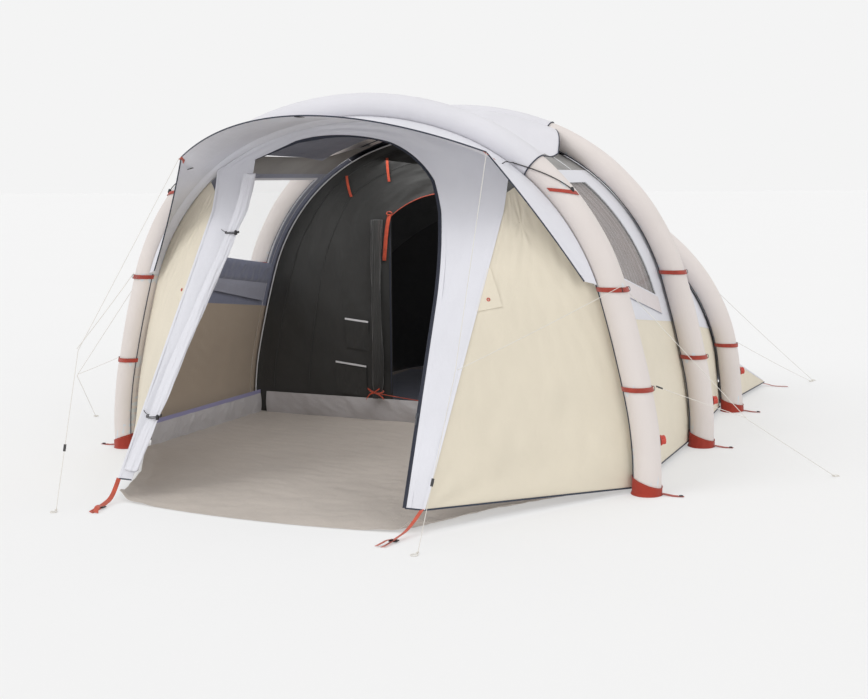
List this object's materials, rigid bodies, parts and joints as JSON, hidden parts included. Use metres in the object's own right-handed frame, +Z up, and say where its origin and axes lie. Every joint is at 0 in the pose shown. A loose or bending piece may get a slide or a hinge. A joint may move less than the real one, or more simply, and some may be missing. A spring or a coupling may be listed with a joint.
{
  "type": "tunnel tent",
  "caption": "Inflatable tunnel tent: three air beams carry a two-tone flysheet with a leaning open porch, brim, side windows, groundsheet and hung dark bedroom.",
  "frame": {"origin": "on the ground, at the middle of the footprint of the tent without its guy lines", "axes": "+Z up, -Y out of the front door, +Y along the tunnel to the rear, +X to the right of the door as seen from in front of it"},
  "size_m": [4.8286, 5.4875, 2.0166],
  "materials": {
    "sleeve": "woven polyester",
    "white_cloth": "coated woven polyester",
    "beige_cloth": "coated woven polyester",
    "bladder": "thin smooth film",
    "red_webbing": "ribbed webbing",
    "red_plastic": "moulded, satin",
    "window_film": "clear soft film",
    "grey_cloth": "thin lining cloth",
    "grey_mesh": "fine mesh",
    "zip_tape": "zip tape and coil",
    "slider_metal": "satin black",
    "groundsheet_cloth": "coated polyester",
    "black_cloth": "dark woven polyester",
    "guy_cord": "braided cord",
    "black_plastic": "moulded, satin",
    "elastic": "elastic cord"
  },
  "bodies": {
    "tent": {"air_tubes": "bladder", "beam_bands": "red_webbing", "beam_boots": "red_webbing", "beam_covers": "white_cloth", "door_roll": "white_cloth", "door_ties": "elastic", "front_beam_sleeve": "sleeve", "front_skirts": "beige_cloth", "front_walls": "white_cloth", "ground_straps": "red_webbing", "groundsheet": "groundsheet_cloth", "guy_front_leg_left": "guy_cord", "guy_front_leg_right": "guy_cord", "guy_rear_lower_left": "guy_cord", "guy_rear_lower_right": "guy_cord", "guy_rear_upper_left": "guy_cord", "guy_rear_upper_right": "guy_cord", "guy_side_lower_left": "guy_cord", "guy_side_lower_right": "guy_cord", "guy_side_upper_left": "guy_cord", "guy_side_upper_right": "guy_cord", "guy_visor_left": "guy_cord", "guy_visor_right": "guy_cord", "inner_canopy": "black_cloth", "inner_door_roll": "black_cloth", "inner_floor": "groundsheet_cloth", "inner_front": "black_cloth", "inner_rear": "black_cloth", "middle_beam_sleeve": "sleeve", "middle_skirts": "beige_cloth", "middle_walls": "white_cloth", "peg_loops": "guy_cord", "porch_front": "white_cloth", "porch_sides": "beige_cloth", "rear_beam_sleeve": "sleeve", "rear_panel": "white_cloth", "rear_sides": "beige_cloth", "roof_front": "white_cloth", "roof_middle": "white_cloth", "valve_bases": "red_plastic", "vent_meshes": "grey_mesh", "visor": "white_cloth", "window_curtains": "grey_cloth", "windows": "window_film", "zip_chains": "zip_tape"},
    "front_valve_cap": {"front_valve_cap": "red_plastic"},
    "middle_valve_cap": {"middle_valve_cap": "red_plastic"},
    "rear_valve_cap": {"rear_valve_cap": "red_plastic"},
    "runner_front_right": {"runner_front_right": "black_plastic"},
    "runner_front_left": {"runner_front_left": "black_plastic"},
    "runner_side_right": {"runner_side_right": "black_plastic"},
    "runner_side_left": {"runner_side_left": "black_plastic"},
    "door_toggle_lower": {"door_toggle_lower": "black_plastic"},
    "door_toggle_upper": {"door_toggle_upper": "black_plastic"},
    "corner_buckle_right": {"corner_buckle_right": "black_plastic"},
    "corner_buckle_left": {"corner_buckle_left": "black_plastic"},
    "door_slider": {"door_slider": "slider_metal"},
    "inner_slider": {"inner_slider": "slider_metal"},
    "hang_tape_left": {"hang_tape_left": "red_webbing"},
    "hang_tape_right": {"hang_tape_right": "red_webbing"}
  },
  "joints": [
    {"name": "front_valve_turn", "type": "hinge", "parent": "tent", "child": "front_valve_cap", "pos_m": [1.62594, -1.12792, 0.26816], "axis": [0.8134, 0.5756, 0.0842], "range_deg": [0, 90]},
    {"name": "middle_valve_turn", "type": "hinge", "parent": "tent", "child": "middle_valve_cap", "pos_m": [1.62594, 0.13208, 0.26816], "axis": [0.8134, 0.5756, 0.0842], "range_deg": [0, 90]},
    {"name": "rear_valve_turn", "type": "hinge", "parent": "tent", "child": "rear_valve_cap", "pos_m": [1.55486, 1.36211, 0.26882], "axis": [0.812, 0.5761, 0.0932], "range_deg": [0, 90]},
    {"name": "runner_front_right_slide", "type": "slide", "parent": "tent", "child": "runner_front_right", "axis": [-0.0727, -0.3561, -0.9316], "range_m": [-0.3, 0.2]},
    {"name": "runner_front_left_slide", "type": "slide", "parent": "tent", "child": "runner_front_left", "axis": [0.0727, -0.3561, -0.9316], "range_m": [-0.3, 0.2]},
    {"name": "runner_side_right_slide", "type": "slide", "parent": "tent", "child": "runner_side_right", "axis": [0.9111, 0.2369, -0.3374], "range_m": [0, 0.06]},
    {"name": "runner_side_left_slide", "type": "slide", "parent": "tent", "child": "runner_side_left", "axis": [-0.9111, 0.2369, -0.3374], "range_m": [0, 0.06]},
    {"name": "door_toggle_lower_swing", "type": "hinge", "parent": "tent", "child": "door_toggle_lower", "pos_m": [-0.68206, -2.09306, 0.395], "axis": [0.5736, 0.8192, 0], "range_deg": [-18, 18]},
    {"name": "door_toggle_upper_swing", "type": "hinge", "parent": "tent", "child": "door_toggle_upper", "pos_m": [-0.60464, -1.44687, 1.29], "axis": [0.5736, 0.8192, 0], "range_deg": [-18, 18]},
    {"name": "corner_buckle_right_tilt", "type": "hinge", "parent": "tent", "child": "corner_buckle_right", "pos_m": [0.782, -2.42, 0.0082], "axis": [-1, 0, 0], "range_deg": [0, 50]},
    {"name": "corner_buckle_left_tilt", "type": "hinge", "parent": "tent", "child": "corner_buckle_left", "pos_m": [-0.782, -2.42, 0.0082], "axis": [-1, 0, 0], "range_deg": [0, 50]},
    {"name": "door_zip_slide", "type": "slide", "parent": "tent", "child": "door_slider", "axis": [-0.1096, 0.5818, 0.8059], "range_m": [-0.38, 0.5]},
    {"name": "inner_zip_slide", "type": "slide", "parent": "tent", "child": "inner_slider", "axis": [0, 0, 1], "range_m": [-1, 0.01]},
    {"name": "hang_tape_left_swing", "type": "hinge", "parent": "tent", "child": "hang_tape_left", "pos_m": [-0.746, 0.11425, 1.59], "axis": [0, 1, 0], "range_deg": [-60, 30]},
    {"name": "hang_tape_right_swing", "type": "hinge", "parent": "tent", "child": "hang_tape_right", "pos_m": [-0.456, 0.11425, 1.7], "axis": [0, 1, 0], "range_deg": [-60, 60]}
  ]
}
